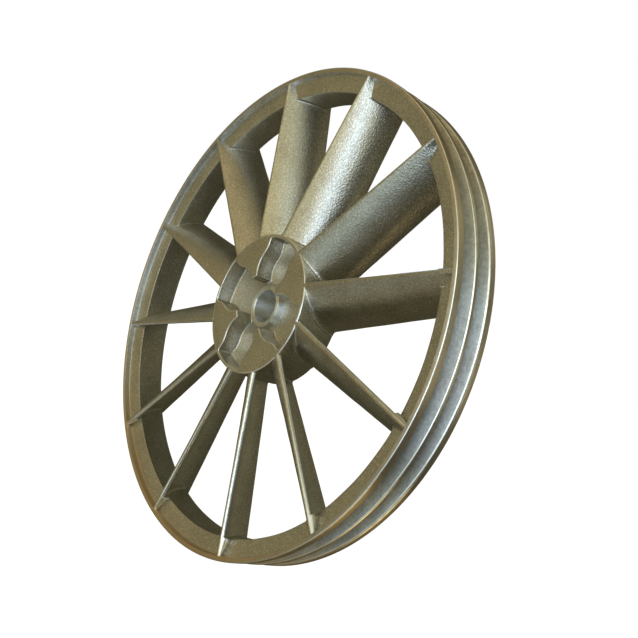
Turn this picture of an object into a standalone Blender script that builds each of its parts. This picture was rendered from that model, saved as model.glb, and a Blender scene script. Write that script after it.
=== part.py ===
"""Two-groove V-belt pulley for a compressor: a one-piece aluminium fan flywheel.

Frame: origin on the bore axis, halfway across the rim. +Y runs along the bore towards the
back, so the face that carries the pockets looks along -Y. +Z is up. Units are metres.

The real wheel is a single casting. It is modelled here as its natural regions (rim band, groove
flanges, hub shell, hub lands, bore sleeve, blades), each one a closed solid in a node of its own,
with a hairline gap between neighbours.
"""

from math import atan2, cos, hypot, pi, radians, sin, sqrt

import bmesh
import bpy
from mathutils import Matrix

# ---------------------------------------------------------------- driving dimensions (metres)
GAP = 0.0003                 # hairline between neighbouring regions

RIM_RADIUS = 0.190
RIM_WIDTH = 0.039
GROOVE_WIDTH = 0.0125        # each V, across its mouth
RIB_WIDTH = 0.0025           # land between the two grooves
GROOVE_DEPTH = 0.0125
FLANK_ANGLE = radians(18.0)  # half the V angle
LIP_RADIUS = 0.1864          # inner wall of the turned lip on both faces
LIP_DEPTH_FRONT = 0.0048
LIP_DEPTH_REAR = 0.0045
FACE_DEPTH_FRONT = 0.0072    # cast face where it meets the inside of the rim
FACE_DEPTH_REAR = 0.0090
RIM_INNER_FRONT = 0.1735
RIM_INNER_REAR = 0.1727

HUB_RADIUS_FRONT = 0.0552
HUB_RADIUS_REAR = 0.0564
HUB_LENGTH = 0.0365
HUB_SHELL_INNER = 0.0526
POCKET_COUNT = 4
POCKET_DEPTH = 0.016
POCKET_CIRCLE_RADIUS = 0.030   # pocket centres sit on this circle
POCKET_RADIUS = 0.018
RELIEF_ANGLE_NECK = radians(21.6)    # half angle of a pocket's outer relief, near the axis
RELIEF_ANGLE_OUTER = radians(19.8)   # and out at the hub shell
TROUGH_RADIUS = 0.0226         # round recess about the bore sleeve
WEB_THICKNESS = 0.009
BOSS_RADIUS = 0.024            # rear seat about the bore

BORE_RADIUS = 0.0127
SLEEVE_RADIUS = 0.0167
SLEEVE_SETBACK = 0.0093        # sleeve end behind the hub's front face

BLADE_COUNT = 12
BLADE_FIRST_ANGLE = radians(-5.0)
BLADE_OFFSET = 0.0127          # leading edge passes this far from the axis
BLADE_DEPTH = 0.0355           # front edge to rear edge, along the axis
BLADE_ROOT_ANGLES = (radians(72.0), radians(1.0))   # section's slope at its front and rear edge
BLADE_TIP_ANGLES = (radians(46.0), radians(2.0))
BLADE_ROOT_THICKNESS = 0.0040
BLADE_TIP_THICKNESS = 0.0034

RING_SEGMENTS = 96
SLEEVE_SEGMENTS = 48
BLADE_STEPS = (4, 7, 2)        # facets ahead of, inside and behind the rim's inner wall
SHARP_ANGLE = radians(30.0)
HALVINGS = 40                  # halvings of the span when a crossing is searched for

# ---------------------------------------------------------------- derived places
FRONT = -RIM_WIDTH / 2
REAR = RIM_WIDTH / 2
EDGE_LAND = (RIM_WIDTH - 2 * GROOVE_WIDTH - RIB_WIDTH) / 2
GROOVE_FLOOR = RIM_RADIUS - GROOVE_DEPTH
FLANK_RUN = GROOVE_DEPTH * sin(FLANK_ANGLE) / cos(FLANK_ANGLE)
BAND_RADIUS = GROOVE_FLOOR - GAP
HUB_REAR = FRONT + HUB_LENGTH
WEB_FRONT = FRONT + POCKET_DEPTH
WEB_REAR = WEB_FRONT + WEB_THICKNESS
LAND_OUTER = HUB_SHELL_INNER - GAP
SLEEVE_CLEAR = SLEEVE_RADIUS + GAP


def lerp(a, b, amount):
    return a + (b - a) * amount


def front_face_y(radius):
    """Cast front face of the rim: a shallow cone from the lip down to the inner edge."""
    amount = (LIP_RADIUS - radius) / (LIP_RADIUS - RIM_INNER_FRONT)
    return FRONT + lerp(LIP_DEPTH_FRONT, FACE_DEPTH_FRONT, amount)


def rear_face_y(radius):
    amount = (LIP_RADIUS - radius) / (LIP_RADIUS - RIM_INNER_REAR)
    return REAR - lerp(LIP_DEPTH_REAR, FACE_DEPTH_REAR, amount)


def rim_inner_radius(y):
    """Inside of the rim, drawn in slightly towards the back."""
    front = front_face_y(RIM_INNER_FRONT)
    rear = rear_face_y(RIM_INNER_REAR)
    return lerp(RIM_INNER_FRONT, RIM_INNER_REAR, (y - front) / (rear - front))


def hub_radius(y):
    """Outside of the hub, which widens slightly towards the back."""
    return lerp(HUB_RADIUS_FRONT, HUB_RADIUS_REAR, (y - FRONT) / HUB_LENGTH)


# ---------------------------------------------------------------- scene helpers
def clear_scene():
    for obj in list(bpy.data.objects):
        bpy.data.objects.remove(obj, do_unlink=True)


def metal(name, color, roughness):
    material = bpy.data.materials.new(name)
    material.use_nodes = True
    shader = material.node_tree.nodes["Principled BSDF"]
    shader.inputs["Base Color"].default_value = (*color, 1.0)
    shader.inputs["Roughness"].default_value = roughness
    shader.inputs["Metallic"].default_value = 1.0
    return material


def add_object(name, bm, material):
    """Turn a bmesh into a named object with outward faces and smooth round surfaces."""
    bmesh.ops.recalc_face_normals(bm, faces=bm.faces)
    mesh = bpy.data.meshes.new(name)
    bm.to_mesh(mesh)
    bm.free()
    mesh.shade_smooth()
    mesh.set_sharp_from_angle(angle=SHARP_ANGLE)
    mesh.materials.append(material)
    obj = bpy.data.objects.new(name, mesh)
    bpy.context.scene.collection.objects.link(obj)
    return obj


def add_ring(name, profile, material, segments=RING_SEGMENTS):
    """Turn a closed (radius, y) outline about the bore axis."""
    bm = bmesh.new()
    rings = []
    for step in range(segments):
        angle = 2 * pi * step / segments
        rings.append([bm.verts.new((r * cos(angle), y, r * sin(angle))) for r, y in profile])
    for step, ring in enumerate(rings):
        following = rings[(step + 1) % segments]
        for i in range(len(profile)):
            j = (i + 1) % len(profile)
            bm.faces.new((ring[i], ring[j], following[j], following[i]))
    return add_object(name, bm, material)


def add_prism(name, outline, y_front, y_rear, material):
    """Extrude a closed (x, z) outline along the bore axis."""
    bm = bmesh.new()
    front = [bm.verts.new((x, y_front, z)) for x, z in outline]
    rear = [bm.verts.new((x, y_rear, z)) for x, z in outline]
    bm.faces.new(front)
    bm.faces.new(rear)
    for i in range(len(outline)):
        j = (i + 1) % len(outline)
        bm.faces.new((front[i], front[j], rear[j], rear[i]))
    return add_object(name, bm, material)


# ---------------------------------------------------------------- rim
def build_rim(turned, cast):
    """Band under the grooves, and the three ridges that stand on it to form two V grooves."""
    front_land = FRONT + EDGE_LAND
    rear_land = REAR - EDGE_LAND
    rib_half = RIB_WIDTH / 2
    add_ring("rim_band", [
        (BAND_RADIUS, front_face_y(BAND_RADIUS)),
        (BAND_RADIUS, rear_face_y(BAND_RADIUS)),
        (RIM_INNER_REAR, rear_face_y(RIM_INNER_REAR)),
        (RIM_INNER_FRONT, front_face_y(RIM_INNER_FRONT)),
    ], cast)
    add_ring("front_flange", [
        (LIP_RADIUS, FRONT),
        (RIM_RADIUS, FRONT),
        (RIM_RADIUS, front_land),
        (GROOVE_FLOOR, front_land + FLANK_RUN),
        (GROOVE_FLOOR, front_face_y(GROOVE_FLOOR)),
        (LIP_RADIUS, front_face_y(LIP_RADIUS)),
    ], turned)
    add_ring("centre_rib", [
        (RIM_RADIUS, -rib_half),
        (RIM_RADIUS, rib_half),
        (GROOVE_FLOOR, rib_half + FLANK_RUN),
        (GROOVE_FLOOR, -rib_half - FLANK_RUN),
    ], turned)
    add_ring("rear_flange", [
        (LIP_RADIUS, REAR),
        (RIM_RADIUS, REAR),
        (RIM_RADIUS, rear_land),
        (GROOVE_FLOOR, rear_land - FLANK_RUN),
        (GROOVE_FLOOR, rear_face_y(GROOVE_FLOOR)),
        (LIP_RADIUS, rear_face_y(LIP_RADIUS)),
    ], turned)


# ---------------------------------------------------------------- hub
def land_outline(steps=10):
    """One land between two pockets, centred on the +X axis, as (x, z) points.

    Each pocket is a round hole plus a wedge-shaped relief that runs out to the hub shell, and
    the round trough about the sleeve cuts off the land's inner tip.
    """
    half_pitch = pi / POCKET_COUNT
    relief = half_pitch - RELIEF_ANGLE_OUTER
    along = POCKET_CIRCLE_RADIUS * cos(RELIEF_ANGLE_NECK)
    power = POCKET_CIRCLE_RADIUS ** 2 - POCKET_RADIUS ** 2
    neck = along + sqrt(along ** 2 - power)
    tip_along = (TROUGH_RADIUS ** 2 + power) / (2 * POCKET_CIRCLE_RADIUS)
    tip_across = sqrt(TROUGH_RADIUS ** 2 - tip_along ** 2)
    start = atan2(neck * sin(RELIEF_ANGLE_NECK),
                  neck * cos(RELIEF_ANGLE_NECK) - POCKET_CIRCLE_RADIUS)
    end = atan2(tip_across, tip_along - POCKET_CIRCLE_RADIUS)
    upper = [(LAND_OUTER * cos(a), LAND_OUTER * sin(a))
             for a in (relief * i / steps for i in range(steps + 1))]
    for i in range(steps + 1):
        angle = lerp(start, end, i / steps)
        v = POCKET_CIRCLE_RADIUS + POCKET_RADIUS * cos(angle)
        u = POCKET_RADIUS * sin(angle)
        turn = half_pitch - atan2(u, v)
        upper.append((hypot(u, v) * cos(turn), hypot(u, v) * sin(turn)))
    tip_turn = half_pitch - atan2(tip_across, tip_along)
    tip = [(TROUGH_RADIUS * cos(a), TROUGH_RADIUS * sin(a)) for a in (tip_turn / 2, 0.0)]
    upper += tip
    lower = [(x, -z) for x, z in reversed(upper[1:-1])]
    return upper + lower


def rotated(outline, angle):
    return [(x * cos(angle) - z * sin(angle), x * sin(angle) + z * cos(angle)) for x, z in outline]


def build_hub(cast, turned):
    add_ring("hub_barrel", [
        (HUB_RADIUS_FRONT, FRONT),
        (HUB_RADIUS_REAR, HUB_REAR),
        (HUB_SHELL_INNER, HUB_REAR),
        (HUB_SHELL_INNER, FRONT),
    ], cast)
    add_ring("hub_web", [
        (LAND_OUTER, WEB_FRONT),
        (LAND_OUTER, WEB_REAR),
        (SLEEVE_CLEAR, WEB_REAR),
        (SLEEVE_CLEAR, WEB_FRONT),
    ], cast)
    add_ring("rear_boss", [
        (BOSS_RADIUS, WEB_REAR + GAP),
        (BOSS_RADIUS, HUB_REAR),
        (SLEEVE_CLEAR, HUB_REAR),
        (SLEEVE_CLEAR, WEB_REAR + GAP),
    ], turned, SLEEVE_SEGMENTS)
    add_ring("bore_sleeve", [
        (SLEEVE_RADIUS, FRONT + SLEEVE_SETBACK),
        (SLEEVE_RADIUS, HUB_REAR),
        (BORE_RADIUS, HUB_REAR),
        (BORE_RADIUS, FRONT + SLEEVE_SETBACK),
    ], turned, SLEEVE_SEGMENTS)
    outline = land_outline()
    for number in range(POCKET_COUNT):
        angle = (number + 0.5) * 2 * pi / POCKET_COUNT
        add_prism(f"hub_land_{number + 1}", rotated(outline, angle), FRONT, WEB_FRONT - GAP, cast)


# ---------------------------------------------------------------- blades
def arc_point(angles, thickness, fraction, side):
    """Point of a blade section as (sideways travel, depth), on its outer or inner skin.

    The section is a circular arc whose slope from the bore axis falls from angles[0] at the
    front edge to angles[1] at the rear edge.
    """
    radius = BLADE_DEPTH / (sin(angles[0]) - sin(angles[1]))
    slope = lerp(angles[0], angles[1], fraction)
    skin = radius + side * thickness / 2
    travel = skin * cos(slope) - radius * cos(angles[0])
    depth = radius * sin(angles[0]) - skin * sin(slope)
    return travel, depth


def blade_ruling(fraction, side):
    """Straight line along the blade, from its root station to its tip station."""
    ends = []
    for station, angles, thickness in (
            (HUB_RADIUS_FRONT, BLADE_ROOT_ANGLES, BLADE_ROOT_THICKNESS),
            (LIP_RADIUS, BLADE_TIP_ANGLES, BLADE_TIP_THICKNESS)):
        travel, depth = arc_point(angles, thickness, fraction, side)
        depth = min(max(depth, 0.0), BLADE_DEPTH)
        ends.append((station, FRONT + depth, BLADE_OFFSET - travel))
    return ends


def point_at(ruling, radius_at):
    """Where a ruling meets the surface of revolution radius_at(y), by bisection."""
    low, high = -0.5, 1.5
    for _ in range(HALVINGS):
        middle = (low + high) / 2
        x, y, z = (lerp(a, b, middle) for a, b in zip(*ruling))
        if hypot(x, z) < radius_at(y):
            low = middle
        else:
            high = middle
    return x, y, z


def root_radius(y):
    return hub_radius(y) + GAP


def tip_radius(y):
    """Blade end: inside the rim, and out to the lips where it stands proud of a cast face."""
    front_lip, front_edge = (front_face_y(r) - GAP for r in (LIP_RADIUS, RIM_INNER_FRONT))
    rear_edge, rear_lip = (rear_face_y(r) + GAP for r in (RIM_INNER_REAR, LIP_RADIUS))
    if y <= front_lip or y >= rear_lip:
        radius = LIP_RADIUS
    elif y < front_edge:
        radius = lerp(LIP_RADIUS, RIM_INNER_FRONT, (y - front_lip) / (front_edge - front_lip))
    elif y > rear_edge:
        radius = lerp(RIM_INNER_REAR, LIP_RADIUS, (y - rear_edge) / (rear_lip - rear_edge))
    else:
        radius = rim_inner_radius(y)
    return radius - GAP


def fraction_at(edge_y, side):
    """How far round the section a skin's outer end reaches the depth edge_y."""
    low, high = 0.0, 1.0
    for _ in range(HALVINGS):
        middle = (low + high) / 2
        if point_at(blade_ruling(middle, side), rim_inner_radius)[1] < edge_y:
            low = middle
        else:
            high = middle
    return low


def section_fractions(side):
    """Steps round the section, with one on each inner edge of the rim."""
    stops = [
        0.0,
        fraction_at(front_face_y(RIM_INNER_FRONT) - GAP, side),
        fraction_at(rear_face_y(RIM_INNER_REAR) + GAP, side),
        1.0,
    ]
    fractions = [0.0]
    for start, end, steps in zip(stops, stops[1:], BLADE_STEPS):
        fractions += [lerp(start, end, (i + 1) / steps) for i in range(steps)]
    return fractions


def blade_mesh():
    """One blade along +X: outer and inner skins, joined round the edges and both ends."""
    bm = bmesh.new()
    skins = []
    for side in (1, -1):
        rulings = [blade_ruling(fraction, side) for fraction in section_fractions(side)]
        root = [bm.verts.new(point_at(ruling, root_radius)) for ruling in rulings]
        tip = [bm.verts.new(point_at(ruling, tip_radius)) for ruling in rulings]
        skins.append((root, tip))
    (outer_root, outer_tip), (inner_root, inner_tip) = skins
    last = len(outer_root) - 1
    for i in range(last):
        bm.faces.new((outer_root[i], outer_root[i + 1], outer_tip[i + 1], outer_tip[i]))
        bm.faces.new((inner_root[i], inner_tip[i], inner_tip[i + 1], inner_root[i + 1]))
        bm.faces.new((outer_root[i], inner_root[i], inner_root[i + 1], outer_root[i + 1]))
        bm.faces.new((outer_tip[i], outer_tip[i + 1], inner_tip[i + 1], inner_tip[i]))
    for i in (0, last):
        bm.faces.new((outer_root[i], outer_tip[i], inner_tip[i], inner_root[i]))
    return bm


def build_blades(cast):
    for number in range(BLADE_COUNT):
        angle = BLADE_FIRST_ANGLE + number * 2 * pi / BLADE_COUNT
        bm = blade_mesh()
        bm.transform(Matrix.Rotation(-angle, 4, "Y"))
        add_object(f"blade_{number + 1:02d}", bm, cast)


def main():
    clear_scene()
    cast = metal("cast_aluminium", (0.42, 0.38, 0.29), 0.45)
    turned = metal("turned_aluminium", (0.60, 0.57, 0.50), 0.28)
    build_rim(turned, cast)
    build_hub(cast, turned)
    build_blades(cast)


main()
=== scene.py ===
"""Looks for the V-belt fan pulley: fine meshes, metal finishes, studio light and camera.

Every visual piece replaces the CAD node or nodes it stands for, in the same frame: the bore
runs along Y, the face with the pockets looks along -Y, and +Z is up. Units are metres.
"""

from math import atan2, cos, hypot, log, pi, radians, sin, sqrt, tan

import bmesh
import bpy
from mathutils import Matrix, Quaternion, Vector, noise


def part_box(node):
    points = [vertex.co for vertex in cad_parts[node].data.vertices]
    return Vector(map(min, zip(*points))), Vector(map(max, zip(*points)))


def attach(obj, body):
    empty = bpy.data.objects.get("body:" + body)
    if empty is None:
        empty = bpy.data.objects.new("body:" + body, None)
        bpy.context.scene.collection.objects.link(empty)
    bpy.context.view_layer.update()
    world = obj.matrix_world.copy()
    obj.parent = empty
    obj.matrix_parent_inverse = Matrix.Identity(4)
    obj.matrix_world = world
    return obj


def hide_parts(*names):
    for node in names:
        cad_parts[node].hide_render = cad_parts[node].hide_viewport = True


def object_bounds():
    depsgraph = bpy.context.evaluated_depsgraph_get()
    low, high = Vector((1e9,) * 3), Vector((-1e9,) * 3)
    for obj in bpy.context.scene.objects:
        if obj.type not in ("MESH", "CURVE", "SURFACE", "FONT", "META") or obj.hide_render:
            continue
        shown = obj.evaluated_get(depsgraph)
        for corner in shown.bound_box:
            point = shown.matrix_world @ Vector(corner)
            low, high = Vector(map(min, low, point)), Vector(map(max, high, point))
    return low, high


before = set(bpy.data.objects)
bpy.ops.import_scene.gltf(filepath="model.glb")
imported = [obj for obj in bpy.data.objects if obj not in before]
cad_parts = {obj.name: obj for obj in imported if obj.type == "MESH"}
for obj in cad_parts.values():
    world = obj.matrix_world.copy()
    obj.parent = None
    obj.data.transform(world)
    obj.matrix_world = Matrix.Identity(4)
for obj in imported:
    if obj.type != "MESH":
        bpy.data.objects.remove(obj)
CAD_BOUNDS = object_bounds()

MM = 0.001
CAST, TURNED, DRESSED = 0, 1, 2      # finishes, in the order of every piece's materials

# ---------------------------------------------------------------- sizes taken from the frame
RIM_LOW, RIM_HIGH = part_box("front_flange")
REAR_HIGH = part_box("rear_flange")[1]
BAND_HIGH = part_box("rim_band")[1]
BARREL_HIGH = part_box("hub_barrel")[1]
WEB_LOW, WEB_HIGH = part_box("hub_web")
BOSS_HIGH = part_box("rear_boss")[1]
SLEEVE_LOW, SLEEVE_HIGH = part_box("bore_sleeve")

NODE_GAP = 0.3 * MM            # hairline between neighbouring CAD nodes
FRONT = RIM_LOW.y
REAR = REAR_HIGH.y
RIM_RADIUS = RIM_HIGH.x
HUB_REAR = BARREL_HIGH.y
POCKET_FLOOR = WEB_LOW.y
WEB_REAR = WEB_HIGH.y
SLEEVE_FRONT = SLEEVE_LOW.y
SLEEVE_RADIUS = SLEEVE_HIGH.x
CORE_RADIUS = SLEEVE_RADIUS - 0.3 * MM     # the hub runs a little way into the sleeve
BOSS_RADIUS = BOSS_HIGH.x
HUB_RADIUS_REAR = BARREL_HIGH.x
GROOVE_FLOOR = BAND_HIGH.x + NODE_GAP

# ---------------------------------------------------------------- sizes the frame can't give
FLANK_SLOPE = tan(radians(18.0))
EDGE_LAND = 5.75 * MM
RIB_WIDTH = 2.5 * MM
LIP_RADIUS = 186.4 * MM
RIM_INNER_FRONT = 173.5 * MM
RIM_INNER_REAR = 172.7 * MM
FACE_LIP_FRONT = 4.8 * MM      # depth of the front cast face at the lip, then at its inner edge
FACE_EDGE_FRONT = 7.2 * MM
FACE_LIP_REAR = 4.5 * MM
FACE_EDGE_REAR = 9.0 * MM
HUB_RADIUS_FRONT = 55.2 * MM
HUB_SHELL_INNER = 52.4 * MM
BORE_RADIUS = 12.7 * MM

POCKET_CIRCLE = 30.0 * MM
POCKET_RADIUS = 18.0 * MM
TROUGH_RADIUS = 22.4 * MM
RELIEF_NECK = radians(21.6)
RELIEF_OUTER = radians(19.8)

BLADE_COUNT = 12
BLADE_FIRST_ANGLE = radians(-5.0)
BLADE_OFFSET = 12.7 * MM
BLADE_DEPTH = 35.5 * MM
BLADE_ROOT = (radians(72.0), radians(1.0), 4.0 * MM)   # slopes at both edges, thickness
BLADE_TIP = (radians(46.0), radians(2.0), 3.4 * MM)


def lerp(a, b, amount):
    return a + (b - a) * amount


def clamp01(value):
    return min(max(value, 0.0), 1.0)


def smooth_step(value):
    value = clamp01(value)
    return value * value * (3.0 - 2.0 * value)


# ---------------------------------------------------------------- mesh helpers
CORNER_STEPS = 4
CORNER_SHARE = 0.45            # most of an edge that one corner may take up


def rounded_profile(corners):
    """Closed (radius, y) outline with every corner turned to an arc of its own radius.

    corners holds (radius, y, corner_radius, finish); finish is that of the edge that starts there.
    Returns the points and, for each one, the finish of the strip that starts there.
    """
    points = []
    finishes = []
    count = len(corners)
    for i, (r, y, size, finish) in enumerate(corners):
        here = Vector((r, y))
        before = Vector(corners[i - 1][:2]) - here
        after = Vector(corners[(i + 1) % count][:2]) - here
        half = before.angle(after) / 2
        reach = min(size / tan(half), before.length * CORNER_SHARE, after.length * CORNER_SHARE)
        radius = reach * tan(half)
        start = here + before.normalized() * reach
        middle = here + (before.normalized() + after.normalized()).normalized() * radius / sin(half)
        begin = start - middle
        sweep = begin.angle_signed(here + after.normalized() * reach - middle)
        for step in range(CORNER_STEPS + 1):
            angle = -sweep * step / CORNER_STEPS
            turned = Vector((begin.x * cos(angle) - begin.y * sin(angle),
                             begin.x * sin(angle) + begin.y * cos(angle)))
            points.append(tuple(middle + turned))
            finishes.append(finish)
    return points, finishes


def dress_corners(finishes, *corners):
    """Give the arcs at these corners of a rounded profile the dressed finish."""
    for corner in corners:
        start = corner * (CORNER_STEPS + 1)
        finishes[start:start + CORNER_STEPS] = [DRESSED] * CORNER_STEPS


def subdivide_profile(points, finishes, longest):
    """Split long straight strips, so that the surface can carry a slight unevenness."""
    fine_points = []
    fine_finishes = []
    for i, (r, y) in enumerate(points):
        next_r, next_y = points[(i + 1) % len(points)]
        pieces = max(1, round(hypot(next_r - r, next_y - y) / longest))
        for piece in range(pieces):
            fine_points.append((lerp(r, next_r, piece / pieces), lerp(y, next_y, piece / pieces)))
            fine_finishes.append(finishes[i])
    return fine_points, fine_finishes


def loops_to_object(name, loops, strip_finish, materials, sharp=40.0):
    """Join closed loops, each with as many points, into a closed ring-shaped body."""
    bm = bmesh.new()
    rows = [[bm.verts.new(point) for point in loop] for loop in loops]
    size = len(loops[0])
    for i, row in enumerate(rows):
        following = rows[(i + 1) % len(rows)]
        for k in range(size):
            j = (k + 1) % size
            face = bm.faces.new((row[k], row[j], following[j], following[k]))
            face.material_index = strip_finish[i]
    return finish_mesh(name, bm, materials, sharp)


def finish_mesh(name, bm, materials, sharp):
    bmesh.ops.recalc_face_normals(bm, faces=bm.faces)
    mesh = bpy.data.meshes.new(name)
    bm.to_mesh(mesh)
    bm.free()
    mesh.shade_smooth()
    mesh.set_sharp_from_angle(angle=radians(sharp))
    for material in materials:
        mesh.materials.append(material)
    obj = bpy.data.objects.new(name, mesh)
    bpy.context.scene.collection.objects.link(obj)
    return obj


def ring_loop(radius, y, segments):
    return [(radius * cos(2 * pi * k / segments), y, radius * sin(2 * pi * k / segments))
            for k in range(segments)]


def unevenness(place, size, amount):
    """Low swell of a cast surface, the same wherever it is asked for."""
    return amount * noise.noise(Vector(place) / size)


# ---------------------------------------------------------------- rim
RIM_SEGMENTS = 432
RIM_STRIP = 2.5 * MM           # widest strip across the section
BRIGHT_SHOULDERS = (1, 5, 9)   # corners of the section that belts and handling keep bright


def front_face_y(radius):
    amount = (LIP_RADIUS - radius) / (LIP_RADIUS - RIM_INNER_FRONT)
    return FRONT + lerp(FACE_LIP_FRONT, FACE_EDGE_FRONT, amount)


def rear_face_y(radius):
    amount = (LIP_RADIUS - radius) / (LIP_RADIUS - RIM_INNER_REAR)
    return REAR - lerp(FACE_LIP_REAR, FACE_EDGE_REAR, amount)


def rim_inner_radius(y):
    front = front_face_y(RIM_INNER_FRONT)
    rear = rear_face_y(RIM_INNER_REAR)
    return lerp(RIM_INNER_FRONT, RIM_INNER_REAR, (y - front) / (rear - front))


def rim_corners():
    """The rim's whole section, from the front lip over the grooves and back inside."""
    run = (RIM_RADIUS - GROOVE_FLOOR) * FLANK_SLOPE
    front_land = FRONT + EDGE_LAND
    rear_land = REAR - EDGE_LAND
    rib = RIB_WIDTH / 2
    return [
        (LIP_RADIUS, FRONT, 0.5 * MM, TURNED),
        (RIM_RADIUS, FRONT, 0.9 * MM, TURNED),
        (RIM_RADIUS, front_land, 0.6 * MM, TURNED),
        (GROOVE_FLOOR, front_land + run, 0.8 * MM, TURNED),
        (GROOVE_FLOOR, -rib - run, 0.8 * MM, TURNED),
        (RIM_RADIUS, -rib, 1.5 * MM, TURNED),
        (RIM_RADIUS, rib, 0.6 * MM, TURNED),
        (GROOVE_FLOOR, rib + run, 0.8 * MM, TURNED),
        (GROOVE_FLOOR, rear_land - run, 0.8 * MM, TURNED),
        (RIM_RADIUS, rear_land, 2.0 * MM, TURNED),
        (RIM_RADIUS, REAR, 1.1 * MM, TURNED),
        (LIP_RADIUS, REAR, 0.5 * MM, TURNED),
        (LIP_RADIUS - 0.3 * MM, rear_face_y(LIP_RADIUS), 1.0 * MM, CAST),
        (RIM_INNER_REAR, rear_face_y(RIM_INNER_REAR), 1.2 * MM, CAST),
        (RIM_INNER_FRONT, front_face_y(RIM_INNER_FRONT), 0.5 * MM, CAST),
        (LIP_RADIUS - 0.2 * MM, front_face_y(LIP_RADIUS), 0.8 * MM, TURNED),
    ]


def build_rim(materials):
    points, finishes = rounded_profile(rim_corners())
    dress_corners(finishes, *BRIGHT_SHOULDERS)
    points, finishes = subdivide_profile(points, finishes, RIM_STRIP)
    loops = []
    for index, (r, y) in enumerate(points):
        cast = finishes[index] == CAST and finishes[index - 1] == CAST
        loop = ring_loop(r, y, RIM_SEGMENTS)
        if cast:
            loop = [uneven_ring_point(point) for point in loop]
        loops.append(loop)
    rim = loops_to_object("rim", loops, finishes, materials)
    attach(rim, "root")
    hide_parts("rim_band", "front_flange", "centre_rib", "rear_flange")


def uneven_ring_point(point):
    """Cast rim surface: a low swell with a finer one on it."""
    x, y, z = point
    swell = unevenness(point, 26 * MM, 0.22 * MM) + unevenness(point, 7 * MM, 0.07 * MM)
    r = hypot(x, z)
    return (x * (1 + swell / r), y + swell * 0.6, z * (1 + swell / r))


# ---------------------------------------------------------------- hub
OUTLINE_POINTS = 576
OUTLINE_RAYS = 10 * OUTLINE_POINTS
RELIEF_START = 42.4 * MM       # radius where a pocket's relief begins to narrow
RELIEF_LENGTH = 10.0 * MM
HUB_STRIP = 4.0 * MM           # widest strip across the back of the hub
HUB_UNEVENNESS = 0.14 * MM
FLOOR_STEPS = 14
FILLET_STEPS = 5
EDGE_ARC_STEPS = 4
SLEEVE_SEGMENTS = 128


def smooth_min(a, b, reach):
    blend = max(reach - abs(a - b), 0.0) / reach
    return min(a, b) - blend * blend * reach / 4


def smooth_max(a, b, reach):
    return -smooth_min(-a, -b, reach)


def pocket_place(x, z):
    """(along, across) in the nearest pocket's own axes; pockets lie on +-X and +-Z."""
    r = hypot(x, z)
    turn = (atan2(z, x) + pi / 4) % (pi / 2) - pi / 4
    return r * cos(turn), abs(r * sin(turn))


def recess_distance(x, z):
    """Signed distance, roughly, to the edge of the pockets and trough; negative inside."""
    along, across = pocket_place(x, z)
    r = hypot(x, z)
    bore_lobe = hypot(along - POCKET_CIRCLE, across) - POCKET_RADIUS
    lean = lerp(RELIEF_NECK, RELIEF_OUTER, clamp01((r - RELIEF_START) / RELIEF_LENGTH))
    side = r * (atan2(across, along) - lean)
    relief = smooth_max(side, r - HUB_SHELL_INNER, 1.4 * MM)
    relief = max(relief, POCKET_CIRCLE + 4.0 * MM - r)
    recess = smooth_min(bore_lobe, relief, 4.0 * MM)
    return smooth_min(recess, r - TROUGH_RADIUS, 1.0 * MM)


def recess_outline():
    """Edge of the recess as evenly spaced (x, z) points, found along rays from the axis."""
    stride = 0.5 * MM
    raw = []
    for ray in range(OUTLINE_RAYS):
        angle = 2 * pi * ray / OUTLINE_RAYS
        inside = outside = HUB_SHELL_INNER + stride
        while recess_distance(inside * cos(angle), inside * sin(angle)) > 0:
            outside = inside
            inside -= stride
        for _ in range(24):
            middle = (inside + outside) / 2
            if recess_distance(middle * cos(angle), middle * sin(angle)) > 0:
                outside = middle
            else:
                inside = middle
        raw.append(Vector((inside * cos(angle), inside * sin(angle))))
    lengths = [0.0]
    for i in range(OUTLINE_RAYS):
        lengths.append(lengths[-1] + (raw[(i + 1) % OUTLINE_RAYS] - raw[i]).length)
    spaced = []
    segment = 0
    for k in range(OUTLINE_POINTS):
        wanted = lengths[-1] * k / OUTLINE_POINTS
        while lengths[segment + 1] < wanted:
            segment += 1
        part = (wanted - lengths[segment]) / (lengths[segment + 1] - lengths[segment])
        spaced.append(raw[segment].lerp(raw[(segment + 1) % OUTLINE_RAYS], part))
    return spaced


def outward_normals(outline):
    count = len(outline)
    normals = []
    for i in range(count):
        along = outline[(i + 1) % count] - outline[i - 1]
        normals.append(Vector((along.y, -along.x)).normalized())
    return normals


def pocket_floor_y(x, z):
    """Pocket floors are slightly dished, deepest under the middle of each pocket."""
    along, across = pocket_place(x, z)
    spread = hypot(along - POCKET_CIRCLE, across) / POCKET_RADIUS
    return POCKET_FLOOR - 1.5 * MM * min(spread, 1.3) ** 2


def hub_radius(y):
    return lerp(HUB_RADIUS_FRONT, HUB_RADIUS_REAR, (y - FRONT) / (HUB_REAR - FRONT))


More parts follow.
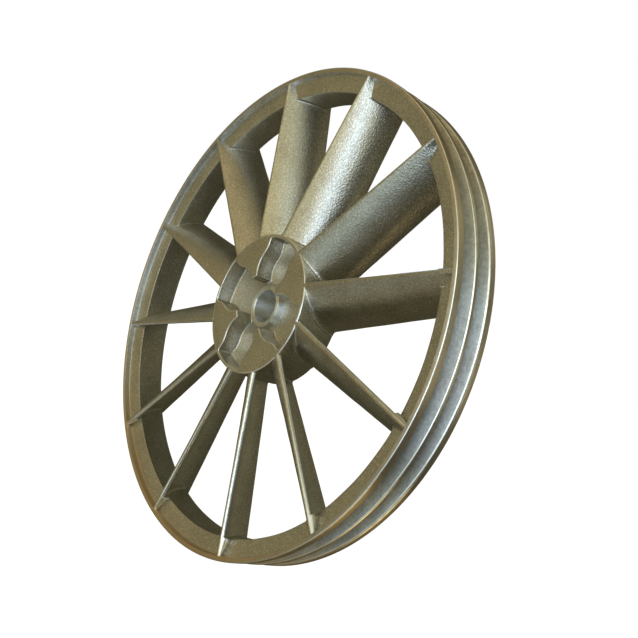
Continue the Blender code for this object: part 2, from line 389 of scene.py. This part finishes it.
def hub_front_loops(outline):
    """From the bore out: dished floor, fillet, pocket wall, rounded edge and flat lands.

    Returns the loops and the finish of the strip that starts at each one.
    """
    normals = outward_normals(outline)
    fillet = 1.4 * MM
    edge = 0.8 * MM
    draft = 0.35 * MM
    floor_edge = [p - n * (fillet + draft) for p, n in zip(outline, normals)]
    loops = []
    for step in range(FLOOR_STEPS + 1):
        loop = []
        for p in floor_edge:
            x, z = p.normalized() * lerp(CORE_RADIUS, p.length, step / FLOOR_STEPS)
            loop.append((x, pocket_floor_y(x, z), z))
        loops.append(loop)
    for step in range(1, FILLET_STEPS + 1):
        angle = pi / 2 * step / FILLET_STEPS
        loop = []
        for n, e in zip(normals, floor_edge):
            x, z = e + n * fillet * sin(angle)
            loop.append((x, pocket_floor_y(*e) - fillet * (1 - cos(angle)), z))
        loops.append(loop)
    for amount in (0.5, 1.0):
        loop = []
        for p, n, e in zip(outline, normals, floor_edge):
            x, z = p - n * draft * (1 - amount)
            low = pocket_floor_y(*e) - fillet
            loop.append((x, lerp(low, FRONT + edge, amount), z))
        loops.append(loop)
    finishes = [CAST] * (len(loops) - 1)
    for step in range(1, EDGE_ARC_STEPS + 1):
        angle = pi / 2 * step / EDGE_ARC_STEPS
        loop = []
        for p, n in zip(outline, normals):
            x, z = p + n * edge * (1 - cos(angle))
            loop.append((x, FRONT + edge * (1 - sin(angle)), z))
        loops.append(loop)
    finishes += [DRESSED] * EDGE_ARC_STEPS
    land_start = loops[-1]
    for amount in (0.25, 0.5, 0.75):
        loop = []
        for x, _, z in land_start:
            p = Vector((x, z))
            x, z = p.normalized() * lerp(p.length, HUB_RADIUS_FRONT - edge, amount)
            loop.append((x, FRONT, z))
        loops.append(loop)
    finishes += [CAST] * (len(loops) - len(finishes))
    return loops, finishes


def build_hub(materials):
    outline = recess_outline()
    loops, finishes = hub_front_loops(outline)
    corners = [
        (HUB_RADIUS_FRONT, FRONT, 0.8 * MM, CAST),
        (HUB_RADIUS_REAR, HUB_REAR, 1.4 * MM, TURNED),
        (HUB_SHELL_INNER, HUB_REAR, 0.7 * MM, CAST),
        (HUB_SHELL_INNER - 0.8 * MM, WEB_REAR, 2.5 * MM, CAST),
        (BOSS_RADIUS + 0.4 * MM, WEB_REAR, 2.5 * MM, CAST),
        (BOSS_RADIUS, HUB_REAR, 0.6 * MM, TURNED),
        (CORE_RADIUS, HUB_REAR, 0.01 * MM, CAST),
        (CORE_RADIUS, POCKET_FLOOR, 0.01 * MM, CAST),
    ]
    points, strips = rounded_profile(corners)
    dress_corners(strips, 0)
    points, strips = subdivide_profile(points, strips, HUB_STRIP)
    last = max(i for i, (r, y) in enumerate(points) if y > HUB_REAR - 0.02 * MM)
    directions = [p.normalized() for p in outline]
    for (r, y), finish in zip(points[:last + 1], strips):
        loops.append([(d.x * r, y, d.y * r) for d in directions])
        finishes.append(finish)
    loops = [loop if finish == TURNED else [cast_hub_point(point) for point in loop]
             for loop, finish in zip(loops, finishes)]
    hub = loops_to_object("hub", loops, finishes, materials)
    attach(hub, "root")
    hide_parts("hub_barrel", "hub_web", "rear_boss",
                "hub_land_1", "hub_land_2", "hub_land_3", "hub_land_4")


def cast_hub_point(point):
    """Cast hub surface, uneven inwards only, so that the hub stays inside its own box."""
    x, y, z = point
    inward = unevenness(point, 11 * MM, HUB_UNEVENNESS) + HUB_UNEVENNESS
    r = hypot(x, z)
    y += 0.5 * inward if y < POCKET_FLOOR + 2 * MM else 0.0
    return (x * (1 - 0.5 * inward / r), y, z * (1 - 0.5 * inward / r))


def build_sleeve(material):
    """Bore sleeve, with a single finish and a chamfer at each mouth of the bore."""
    corners = [
        (SLEEVE_RADIUS, SLEEVE_FRONT, 0.5 * MM, 0),
        (SLEEVE_RADIUS, HUB_REAR, 0.3 * MM, 0),
        (BORE_RADIUS + 0.8 * MM, HUB_REAR, 0.1 * MM, 0),
        (BORE_RADIUS, HUB_REAR - 0.8 * MM, 0.2 * MM, 0),
        (BORE_RADIUS, SLEEVE_FRONT + 0.7 * MM, 0.2 * MM, 0),
        (BORE_RADIUS + 0.7 * MM, SLEEVE_FRONT, 0.1 * MM, 0),
    ]
    points, finishes = rounded_profile(corners)
    loops = [ring_loop(r, y, SLEEVE_SEGMENTS) for r, y in points]
    sleeve = loops_to_object("bore_sleeve_turned", loops, finishes, [material])
    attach(sleeve, "root")
    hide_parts("bore_sleeve")


# ---------------------------------------------------------------- blades
SKIN_STEPS = 30
EDGE_STEPS = 8
SPAN_STEPS = 22
SKIN_CROWDING = 1.15           # exponent over 1 sets the steps closer towards the front edge
EDGE_SQUARENESS = 0.4          # exponent under 1 squares off the hollow side of the blade edges
NEAR_WALL = [0.0, 0.12, 0.3, 0.6, 1.0, 1.6, 2.4, 3.4]          # millimetres from hub or rim
PAST_WALL = [0.02, 0.06, 0.13, 0.23, 0.36, 0.52, 0.68, 0.83, 0.93, 1.0]
SUNK = 0.9 * MM                # how far blade ends run on into the hub and the rim
SETBACK = 0.12 * MM            # from the front plane to the blades' front edges
LEAST_SETBACK = 0.05 * MM      # and the least that their unevenness leaves of it
GUSSET_WIDTH = 6.0 * MM        # web behind a blade's horn, on the rim's cast face
HORN_THINNING = 1.6 * MM


def section_loop():
    """Round one blade section, as (share of the arc, side, beyond).

    Side runs from 1 on the domed skin to -1 on the hollow one, and beyond is the share of half
    the thickness that a point lies past the end of the arc.
    """
    loop = []
    for end, sign in ((0.0, 1.0), (1.0, -1.0)):
        for i in range(SKIN_STEPS + 1):
            loop.append((abs(end - i / SKIN_STEPS) ** SKIN_CROWDING, sign, 0.0))
        for i in range(1, EDGE_STEPS):
            angle = pi * i / EDGE_STEPS
            side, beyond = sign * cos(angle), sin(angle)
            if side < 0:
                side, beyond = -abs(side) ** EDGE_SQUARENESS, beyond ** EDGE_SQUARENESS
            loop.append((1 - end, side, sign * beyond))
    return loop


def section_point(section, share, side, beyond):
    """(sideways travel, depth) on a blade section's surface, and its outward direction."""
    slope_front, slope_rear, thickness = section
    radius = BLADE_DEPTH / (sin(slope_front) - sin(slope_rear))
    inset = thickness / 2 / radius
    slope = lerp(slope_front - inset, slope_rear + inset, share) - beyond * inset
    skin = radius + side * thickness / 2
    travel = skin * cos(slope) - radius * cos(slope_front)
    depth = radius * sin(slope_front) - skin * sin(slope)
    return Vector((travel, depth)), Vector((cos(slope), -sin(slope)))


def section_start(section, loop):
    """Least depth round a section; the blade moves back by it to start at the front plane."""
    return min(section_point(section, *item)[0].y for item in loop)


def wall_fillet(distance, size):
    """How far a fillet of this radius has spread, at a distance from the wall it runs into."""
    if distance >= size:
        return 0.0
    reach = size - max(distance, 0.0)
    return size - sqrt(max(size * size - reach * reach, 0.0))


def root_spread(side, depth, distance):
    """Fillet into the hub, which grows from the front edge of the blade backwards."""
    size = lerp(1.0, 3.0, smooth_step(depth / (18 * MM))) * MM * (1.0 if side > 0 else 0.6)
    if depth < 4 * MM:
        size *= smooth_step(depth / (4 * MM))
    return wall_fillet(distance, size) * side if size > 0 else 0.0


def tip_spread(side, depth, radius, wall):
    """Fillet into the rim; beyond it, on the cast face, the horn's taper and its gusset."""
    size = (1.2 if side > 0 else 1.6) * MM
    to_front = depth - (front_face_y(RIM_INNER_FRONT) - FRONT)
    to_rear = rear_face_y(RIM_INNER_REAR) - FRONT - depth
    size *= smooth_step(min(to_front + 1.5 * MM, to_rear) / (2.5 * MM))
    if radius <= wall:
        return wall_fillet(wall - radius, size) * side if size > 0 else 0.0
    past = clamp01((radius - wall) / (LIP_RADIUS - wall))
    if depth > BLADE_DEPTH / 2:
        return 0.0
    if side > 0:
        return -HORN_THINNING * past ** 1.8 * smooth_step(depth / (4 * MM)) * side
    rise = min(depth / (front_face_y(radius) - FRONT), 1.3)
    onset = clamp01((radius - wall) / (0.3 * MM))
    return GUSSET_WIDTH * onset * (1 - past) * rise * side


def cavity_radius(y):
    """Inside of the rim: the front lip, the cast face, the inner wall, and the same behind."""
    front_lip, front_edge = front_face_y(LIP_RADIUS), front_face_y(RIM_INNER_FRONT)
    rear_edge, rear_lip = rear_face_y(RIM_INNER_REAR), rear_face_y(LIP_RADIUS)
    if y <= front_lip or y >= rear_lip:
        return LIP_RADIUS
    if y < front_edge:
        return lerp(LIP_RADIUS, RIM_INNER_FRONT, (y - front_lip) / (front_edge - front_lip))
    if y > rear_edge:
        return lerp(RIM_INNER_REAR, LIP_RADIUS, (y - rear_edge) / (rear_lip - rear_edge))
    return rim_inner_radius(y)


def along_ruling(root_end, tip_end, radius_at):
    """Share of the way from root_end to tip_end where the line meets radius_at(y)."""
    low, high = -0.3, 1.3
    for _ in range(30):
        middle = (low + high) / 2
        place = root_end.lerp(tip_end, middle)
        if hypot(place.x, place.z) < radius_at(place.y):
            low = middle
        else:
            high = middle
    return low


def span_shares(ends):
    """Stations along a ruling, close together where it runs into the hub and the rim."""
    root = along_ruling(*ends, hub_radius)
    wall = along_ruling(*ends, rim_inner_radius)
    stop = along_ruling(*ends, cavity_radius)
    length = (ends[1] - ends[0]).length
    near = [d * MM / length for d in NEAR_WALL]
    sunk = SUNK / length
    inner, outer = root + near[-1], wall - near[-1]
    shares = [root - sunk] + [root + n for n in near]
    shares += [lerp(inner, outer, i / SPAN_STEPS) for i in range(1, SPAN_STEPS)]
    shares += [wall - n for n in reversed(near)]
    last = max(stop, wall) + sunk
    return shares + [lerp(wall, last, part) for part in PAST_WALL]


def blade_rows():
    """Points over one blade that points along +X: one row along the span for each item."""
    loop = section_loop()
    root_start = section_start(BLADE_ROOT, loop)
    tip_start = section_start(BLADE_TIP, loop)
    rows = []
    for item in loop:
        ends = []
        directions = []
        for station, section, start in ((HUB_RADIUS_FRONT, BLADE_ROOT, root_start),
                                        (LIP_RADIUS, BLADE_TIP, tip_start)):
            place, outward = section_point(section, *item)
            depth = min(place.y - start + SETBACK, BLADE_DEPTH)
            ends.append(Vector((station, FRONT + depth, BLADE_OFFSET - place.x)))
            directions.append(Vector((0.0, outward.y, -outward.x)))
        row = []
        for share in span_shares(ends):
            place = ends[0].lerp(ends[1], share)
            outward = directions[0].lerp(directions[1], clamp01(share)).normalized()
            depth = place.y - FRONT
            radius = hypot(place.x, place.z)
            spread = root_spread(item[1], depth, radius - hub_radius(place.y))
            spread += tip_spread(item[1], depth, radius, rim_inner_radius(place.y))
            spread += unevenness(place, 16 * MM, 0.16 * MM)
            place = place + outward * spread
            place.y = min(max(place.y, FRONT + LEAST_SETBACK), FRONT + BLADE_DEPTH)
            row.append(place)
        rows.append(row)
    return rows


def build_blades(materials):
    rows = blade_rows()
    count, span = len(rows), len(rows[0])
    front_edge = range(count - EDGE_STEPS, count - EDGE_STEPS // 2 + 1)
    for number in range(BLADE_COUNT):
        bm = bmesh.new()
        grid = [[bm.verts.new(point) for point in row] for row in rows]
        for j in range(count):
            following = grid[(j + 1) % count]
            for i in range(span - 1):
                face = bm.faces.new((grid[j][i], grid[j][i + 1], following[i + 1], following[i]))
                face.material_index = DRESSED if j in front_edge else CAST
        bm.faces.new([row[0] for row in grid])
        bm.faces.new([row[-1] for row in grid])
        angle = BLADE_FIRST_ANGLE + number * 2 * pi / BLADE_COUNT
        bm.transform(Matrix.Rotation(-angle, 4, "Y"))
        name = f"blade_{number + 1:02d}"
        blade = finish_mesh(f"{name}_cast", bm, materials, 50.0)
        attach(blade, "root")
        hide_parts(name)


# ---------------------------------------------------------------- materials
class Nodes:
    """Short way to add and link the nodes of one material or world."""

    def __init__(self, tree):
        self.tree = tree

    def add(self, kind, settings=(), **inputs):
        node = self.tree.nodes.new(kind)
        for key, value in dict(settings).items():
            setattr(node, key, value)
        for key, value in inputs.items():
            socket = node.inputs[int(key[1:])] if key[1:].isdigit() else node.inputs[key]
            self.put(socket, value)
        return node

    def put(self, socket, value):
        if isinstance(value, bpy.types.NodeSocket):
            self.tree.links.new(value, socket)
        else:
            socket.default_value = value

    def math(self, operation, *values):
        node = self.add("ShaderNodeMath", {"operation": operation})
        for socket, value in zip(node.inputs, values):
            self.put(socket, value)
        return node.outputs[0]

    def vector(self, operation, *values):
        node = self.add("ShaderNodeVectorMath", {"operation": operation})
        for socket, value in zip(node.inputs, values):
            self.put(socket, value)
        return node.outputs["Value"] if operation in ("DOT_PRODUCT", "LENGTH") else node.outputs[0]

    def noise(self, place, scale, detail=3.0, roughness=0.55, distortion=0.0):
        node = self.add("ShaderNodeTexNoise")
        for key, value in (("Vector", place), ("Scale", scale), ("Detail", detail),
                           ("Roughness", roughness), ("Distortion", distortion)):
            self.put(node.inputs[key], value)
        return node.outputs["Fac"]

    def cells(self, place, scale):
        """Distance to the nearest of a scatter of points, in cells of the given scale."""
        node = self.add("ShaderNodeTexVoronoi", {"feature": "F1"}, Vector=place, Scale=scale)
        return node.outputs["Distance"]

    def split(self, place):
        node = self.add("ShaderNodeSeparateXYZ", _0=place)
        return node.outputs["X"], node.outputs["Y"], node.outputs["Z"]

    def join(self, x, y, z=0.0):
        return self.add("ShaderNodeCombineXYZ", _0=x, _1=y, _2=z).outputs[0]

    def spread(self, value, low, high, to_low=0.0, to_high=1.0):
        """Map low..high to to_low..to_high, held at both ends."""
        node = self.add("ShaderNodeMapRange")
        for index, item in enumerate((value, low, high, to_low, to_high)):
            self.put(node.inputs[index], item)
        return node.outputs[0]

    def mix(self, amount, first, second, blend="MIX"):
        node = self.add("ShaderNodeMix", {"data_type": "RGBA", "blend_type": blend})
        self.put(node.inputs["Factor"], amount)
        self.put(node.inputs[6], first)
        self.put(node.inputs[7], second)
        return node.outputs[2]

    def bump(self, height, strength, distance, normal=None):
        node = self.add("ShaderNodeBump")
        self.put(node.inputs["Strength"], strength)
        self.put(node.inputs["Distance"], distance)
        self.put(node.inputs["Height"], height)
        if normal is not None:
            self.put(node.inputs["Normal"], normal)
        return node.outputs[0]


def new_material(name):
    material = bpy.data.materials.new(name)
    material.use_nodes = True
    nodes = Nodes(material.node_tree)
    shader = material.node_tree.nodes["Principled BSDF"]
    place = nodes.add("ShaderNodeTexCoord").outputs["Object"]
    return material, nodes, shader, place


def rgba(r, g, b):
    return (r, g, b, 1.0)


def cast_material():
    """Shot-blasted casting: dimpled bright grain over soft patches of darker skin."""
    material, nodes, shader, place = new_material("cast_aluminium_skin")
    wander = nodes.add("ShaderNodeTexNoise", Vector=place, Scale=500.0)
    bent = nodes.add("ShaderNodeVectorMath", {"operation": "MULTIPLY_ADD"},
                     _0=wander.outputs["Color"], _1=(1.0 * MM, 1.0 * MM, 1.0 * MM), _2=place)
    dimple = nodes.cells(bent.outputs[0], 720.0)
    grain = nodes.noise(place, 820.0, 2.0, 0.6)
    pebble = nodes.noise(place, 430.0, 2.0, 0.5)
    cloud = nodes.noise(place, 38.0, 4.0, 0.6)
    stain = nodes.noise(place, 14.0, 3.0, 0.5, 0.6)
    nick = nodes.spread(nodes.cells(bent.outputs[0], 62.0), 0.030, 0.050, 0.8, 0.0)

    colour = nodes.mix(nodes.spread(cloud, 0.35, 0.65), rgba(0.50, 0.465, 0.375),
                       rgba(0.60, 0.57, 0.48))
    for amount, tint in ((nodes.spread(stain, 0.56, 0.72, 0.0, 0.45), rgba(0.42, 0.37, 0.27)),
                         (nodes.spread(grain, 0.52, 0.68, 0.0, 0.55), rgba(0.92, 0.91, 0.87)),
                         (nodes.spread(grain, 0.32, 0.48, 0.38, 0.0), rgba(0.30, 0.28, 0.22)),
                         (nick, rgba(0.97, 0.96, 0.92))):
        colour = nodes.mix(amount, colour, tint)
    nodes.put(shader.inputs["Base Color"], colour)
    nodes.put(shader.inputs["Roughness"], nodes.spread(pebble, 0.3, 0.7, 0.40, 0.33))
    shader.inputs["Metallic"].default_value = 1.0

    normal = None
    for height, strength, depth in ((cloud, 0.08, 0.80 * MM), (pebble, 0.12, 0.20 * MM),
                                    (dimple, 0.48, 0.22 * MM), (nick, -0.5, 0.40 * MM),
                                    (grain, 0.42, 0.20 * MM)):
        normal = nodes.bump(height, strength, depth, normal)
    nodes.put(shader.inputs["Normal"], normal)
    return material


def edge_material():
    """Edges dressed by hand: bright metal with the odd duller stretch, and a painted warm
    reflection of the ground, in bronze, low on the rim.
    """
    material, nodes, shader, place = new_material("dressed_edge")
    stretch = nodes.noise(place, 120.0, 3.0, 0.6)
    grain = nodes.noise(place, 900.0, 2.0, 0.6)
    colour = nodes.mix(nodes.spread(stretch, 0.35, 0.60), rgba(0.78, 0.77, 0.70),
                       rgba(0.97, 0.97, 0.95))
    # painted warm reflection of the ground: bronze on the rim's outer edges, stronger lower down
    low = nodes.spread(nodes.split(place)[2], -165 * MM, -70 * MM, 0.85, 0.0)
    outer = nodes.spread(nodes.vector("LENGTH", place), 174 * MM, 178 * MM)
    colour = nodes.mix(nodes.math("MULTIPLY", low, outer), colour, rgba(0.62, 0.50, 0.33))
    nodes.put(shader.inputs["Base Color"], colour)
    nodes.put(shader.inputs["Roughness"], nodes.spread(stretch, 0.3, 0.7, 0.42, 0.26))
    shader.inputs["Metallic"].default_value = 1.0
    nodes.put(shader.inputs["Normal"], nodes.bump(grain, 0.3, 0.12 * MM))
    return material


def turned_material(name, tones, roughness, streak, land_reflection=0.0):
    """Lathe-turned metal: fine rings about the bore, faint stains and a few blow holes.

    tones are the dull and the bright colour, roughness the same way round; streak is how far
    the rings draw highlights out across themselves; land_reflection is how strongly a warm
    reflection is painted in bronze on the outermost surfaces of the rim, as it is painted all over
    its lowest stretch.
    """
    material, nodes, shader, place = new_material(name)
    x, y, z = nodes.split(place)
    radius = nodes.vector("LENGTH", nodes.join(x, 0.0, z))
    drift = nodes.add("ShaderNodeVectorMath", {"operation": "SCALE"}, _0=place, Scale=0.004)
    rings = nodes.vector("ADD", nodes.join(radius, y), drift.outputs[0])
    fine = nodes.noise(rings, 3200.0, 2.0, 0.6)
    broad = nodes.noise(rings, 520.0, 3.0, 0.6)
    smear = nodes.noise(place, 55.0, 4.0, 0.65, 0.4)
    grime = nodes.noise(place, 16.0, 3.0, 0.5)
    mottle = nodes.noise(place, 420.0, 3.0, 0.65)

    colour = nodes.mix(nodes.spread(smear, 0.35, 0.68), *tones)
    for amount, tint in ((nodes.spread(broad, 0.35, 0.65, 0.0, 0.35), rgba(0.78, 0.78, 0.76)),
                         (nodes.spread(grime, 0.54, 0.72, 0.0, 0.35), rgba(0.46, 0.38, 0.26)),
                         (nodes.spread(mottle, 0.52, 0.70, 0.0, 0.55), rgba(0.90, 0.91, 0.90)),
                         (nodes.spread(mottle, 0.32, 0.48, 0.40, 0.0), rgba(0.36, 0.35, 0.31))):
        colour = nodes.mix(amount, colour, tint)
    # painted warm reflection on the rim: bronze on its outer lands and lips and low down; also a
    # thin dark line below each land
    if land_reflection:
        colour = rim_reflection_and_line(nodes, colour, radius, y, z, smear, land_reflection)
    colour, hole = blow_holes(nodes, colour, place)
    nodes.put(shader.inputs["Base Color"], colour)
    nodes.put(shader.inputs["Roughness"], nodes.spread(smear, 0.3, 0.7, *roughness))
    shader.inputs["Metallic"].default_value = 1.0
    shader.inputs["Anisotropic"].default_value = streak
    shader.inputs["Anisotropic Rotation"].default_value = 0.25
    tangent = nodes.add("ShaderNodeTangent", {"direction_type": "RADIAL", "axis": "Y"})
    nodes.put(shader.inputs["Tangent"], tangent.outputs[0])
    normal = nodes.bump(broad, 0.30, 0.12 * MM)
    normal = nodes.bump(fine, 0.25, 0.04 * MM, normal)
    nodes.put(shader.inputs["Normal"], nodes.bump(hole, -0.6, 0.20 * MM, normal))
    return material


def rim_reflection_and_line(nodes, colour, radius, y, z, smear, land_reflection):
    """Painted warm reflection in bronze on the rim's outer lands and lips and low down, and a thin
    dark line below each land.
    """
    from_middle = nodes.math("ABSOLUTE", y)
    lip_near, lip_far = REAR - 0.6 * MM, REAR - 0.2 * MM
    # painted warm reflection, in bronze, on the outer lands and the lips
    land = nodes.spread(radius, RIM_RADIUS - 0.9 * MM, RIM_RADIUS - 0.3 * MM, 0.0, land_reflection)
    lip = nodes.spread(from_middle, lip_near, lip_far, 0.0, 0.6 * land_reflection)
    reflected = nodes.math("MULTIPLY", nodes.math("MAXIMUM", land, lip),
                         nodes.spread(smear, 0.25, 0.60, 0.55, 1.0))
    colour = nodes.mix(reflected, colour, rgba(0.67, 0.52, 0.31))
    # painted warm reflection of the ground: bronze, stronger towards the bottom of the rim
    low = nodes.spread(z, -165 * MM, -95 * MM, 0.85, 0.0)
    ground_reflection = nodes.math("MULTIPLY", low, nodes.spread(smear, 0.25, 0.55, 0.5, 1.0))
    colour = nodes.mix(ground_reflection, colour, rgba(0.74, 0.56, 0.33))
    # a thin dark line just below the edge of each land, kept off the lips
    above = nodes.spread(radius, RIM_RADIUS - 1.5 * MM, RIM_RADIUS - 1.0 * MM)
    below = nodes.spread(radius, RIM_RADIUS - 1.0 * MM, RIM_RADIUS - 0.5 * MM, 0.6, 0.0)
    line = nodes.math("MULTIPLY", nodes.math("MULTIPLY", above, below),
                      nodes.spread(from_middle, lip_near, lip_far, 1.0, 0.0))
    return nodes.mix(line, colour, rgba(0.24, 0.20, 0.14))


def blow_holes(nodes, colour, place):
    """A few pin holes in patches, each with a bright ring worn round it."""
    distance = nodes.cells(place, 75.0)
    patch = nodes.spread(nodes.noise(place, 11.0, 1.0, 0.5), 0.44, 0.50)
    hole = nodes.math("MULTIPLY", patch, nodes.spread(distance, 0.040, 0.060, 1.0, 0.0))
    halo = nodes.math("MULTIPLY", patch, nodes.spread(distance, 0.080, 0.110, 0.6, 0.0))
    colour = nodes.mix(halo, colour, rgba(0.90, 0.90, 0.87))
    colour = nodes.mix(nodes.math("MULTIPLY", hole, 0.65), colour, rgba(0.30, 0.29, 0.26))
    return colour, hole


# ---------------------------------------------------------------- light, floor and camera
# Colours of the light: warm lamps, cream walls, a paler ceiling, daylight, and a cool flash.
LAMP = (1.00, 0.78, 0.38)
WALL = (1.00, 0.95, 0.60)
CEILING = (0.90, 0.95, 0.75)
DAYLIGHT = (0.75, 0.95, 1.00)
FLASH = (0.48, 0.70, 1.00)

# Soft lights far off as (round, up, colour, strength, half width): degrees from the front
# towards +X, degrees upwards, and degrees to half the brightness.
FAR_LIGHTS = [
    (0, 5, WALL, 1.15, 15),          # window wall straight ahead of the hub
    (40, 0, LAMP, 1.10, 15),         # lamp beside the camera
    (30, 40, CEILING, 0.98, 20),     # ceiling over the camera
    (-30, 40, LAMP, 0.50, 25),       # ceiling on the left
    (-55, 0, WALL, 0.20, 30),        # left wall, seen in every face that looks forward
    (-50, -25, LAMP, 0.20, 20),      # and the skirting under it
    (15, -30, DAYLIGHT, 0.95, 15),   # pale ground in front
    (-20, -55, DAYLIGHT, 0.25, 15),  # and nearer the wheel
    (0, -80, LAMP, 0.25, 25),        # warm ground under the wheel
    (180, 10, WALL, 0.20, 45),       # back wall
]

# Near lights as (place, colour, watts, diameter), all turned to the hub.
NEAR_LIGHTS = [
    ((0.45, -0.45, -0.05), FLASH, 0.48, 0.25),  # flash, bounced low
    ((0.42, -0.40, 0.26), FLASH, 0.50, 0.25),   # bounced high
    ((0.50, -0.33, 0.12), FLASH, 0.26, 0.20),   # and straight from the camera
    ((0.35, -0.12, 0.20), WALL, 0.08, 0.20),    # card by the rim, high
    ((0.40, 0.10, 0.06), WALL, 0.03, 0.15),     # card by the rim, beside the grooves
    ((0.32, 0.03, -0.27), LAMP, 0.13, 0.20),    # card by the rim, low
    ((0.20, 0.16, 0.35), WALL, 0.04, 0.20),     # card over the top
]

CAMERA_PLACE = (0.477, -0.365, 0.0945)
CAMERA_TARGET = (0.0528, 0.0, 0.0143)
CAMERA_ROLL = radians(26.2)
CAMERA_LENS = 44.0


def build_world():
    """Even white behind the object, and warm and cool soft lights that only the metal sees."""
    world = bpy.data.worlds.new("studio")
    bpy.context.scene.world = world
    world.use_nodes = True
    tree = world.node_tree
    tree.nodes.clear()
    nodes = Nodes(tree)
    direction = nodes.add("ShaderNodeTexCoord").outputs["Generated"]
    total = (0.0, 0.0, 0.0)
    for round_front, up, colour, strength, half_width in FAR_LIGHTS:
        turn, rise = radians(round_front), radians(up)
        towards = Vector((sin(turn) * cos(rise), -cos(turn) * cos(rise), sin(rise)))
        sharpness = log(2.0) / (1.0 - cos(radians(half_width)))
        facing = nodes.vector("DOT_PRODUCT", direction, towards)
        fall = nodes.math("EXPONENT", nodes.math("MULTIPLY", nodes.math("SUBTRACT", facing, 1.0),
                                                 sharpness))
        glow = nodes.add("ShaderNodeVectorMath", {"operation": "SCALE"},
                         _0=[strength * share for share in colour], Scale=fall)
        total = nodes.vector("ADD", total, glow.outputs[0])
    studio = nodes.add("ShaderNodeBackground", Color=total)
    backdrop = nodes.add("ShaderNodeBackground", Color=rgba(1.0, 1.0, 1.0))
    seen = nodes.add("ShaderNodeLightPath").outputs["Is Camera Ray"]
    choose = nodes.add("ShaderNodeMixShader", _0=seen, _1=studio.outputs[0],
                       _2=backdrop.outputs[0])
    nodes.add("ShaderNodeOutputWorld", Surface=choose.outputs[0])


def build_near_lights():
    """Round soft boxes close to the wheel, for highlights that change along a blade."""
    for number, (place, colour, watts, diameter) in enumerate(NEAR_LIGHTS):
        light = bpy.data.lights.new(f"soft_light_{number + 1}", "AREA")
        light.shape = "DISK"
        light.size = diameter
        light.energy = watts
        light.color = colour
        lamp = bpy.data.objects.new(light.name, light)
        lamp.location = place
        lamp.rotation_mode = "QUATERNION"
        lamp.rotation_quaternion = (-Vector(place)).to_track_quat("-Z", "Y")
        lamp.visible_camera = False
        bpy.context.scene.collection.objects.link(lamp)


def build_floor():
    """Pale ground under the wheel, which lights nothing and isn't mirrored in the metal."""
    mesh = bpy.data.meshes.new("floor")
    half = 4.0
    level = CAD_BOUNDS[0][2]
    mesh.from_pydata([(-half, -half, level), (half, -half, level), (half, half, level),
                      (-half, half, level)], [], [(0, 1, 2, 3)])
    floor = bpy.data.objects.new("floor", mesh)
    bpy.context.scene.collection.objects.link(floor)
    material = bpy.data.materials.new("pale_floor")
    material.use_nodes = True
    shader = material.node_tree.nodes["Principled BSDF"]
    shader.inputs["Base Color"].default_value = rgba(0.6, 0.6, 0.6)
    shader.inputs["Roughness"].default_value = 0.9
    shader.inputs["Emission Color"].default_value = rgba(1.0, 1.0, 1.0)
    shader.inputs["Emission Strength"].default_value = 0.98
    mesh.materials.append(material)
    floor.visible_glossy = False
    floor.visible_diffuse = False


def build_camera():
    camera = bpy.data.objects.new("camera", bpy.data.cameras.new("camera"))
    bpy.context.scene.collection.objects.link(camera)
    camera.data.lens = CAMERA_LENS
    camera.data.clip_start = 0.01
    place = Vector(CAMERA_PLACE)
    aim = (Vector(CAMERA_TARGET) - place).to_track_quat("-Z", "Y")
    camera.rotation_mode = "QUATERNION"
    camera.rotation_quaternion = aim @ Quaternion((0.0, 0.0, 1.0), CAMERA_ROLL)
    camera.location = place
    bpy.context.scene.camera = camera


def main():
    cast = cast_material()
    turned = turned_material("turned_rim", (rgba(0.52, 0.51, 0.46), rgba(0.72, 0.73, 0.72)),
                             (0.50, 0.36), 0.75, land_reflection=0.80)
    polished = turned_material("turned_bore", (rgba(0.76, 0.78, 0.75), rgba(0.90, 0.92, 0.90)),
                               (0.44, 0.36), 0.92)
    finishes = [cast, turned, edge_material()]
    build_rim(finishes)
    build_hub(finishes)
    build_sleeve(polished)
    build_blades(finishes)
    build_world()
    build_near_lights()
    build_floor()
    build_camera()
    bpy.context.scene.view_settings.view_transform = "Standard"


main()
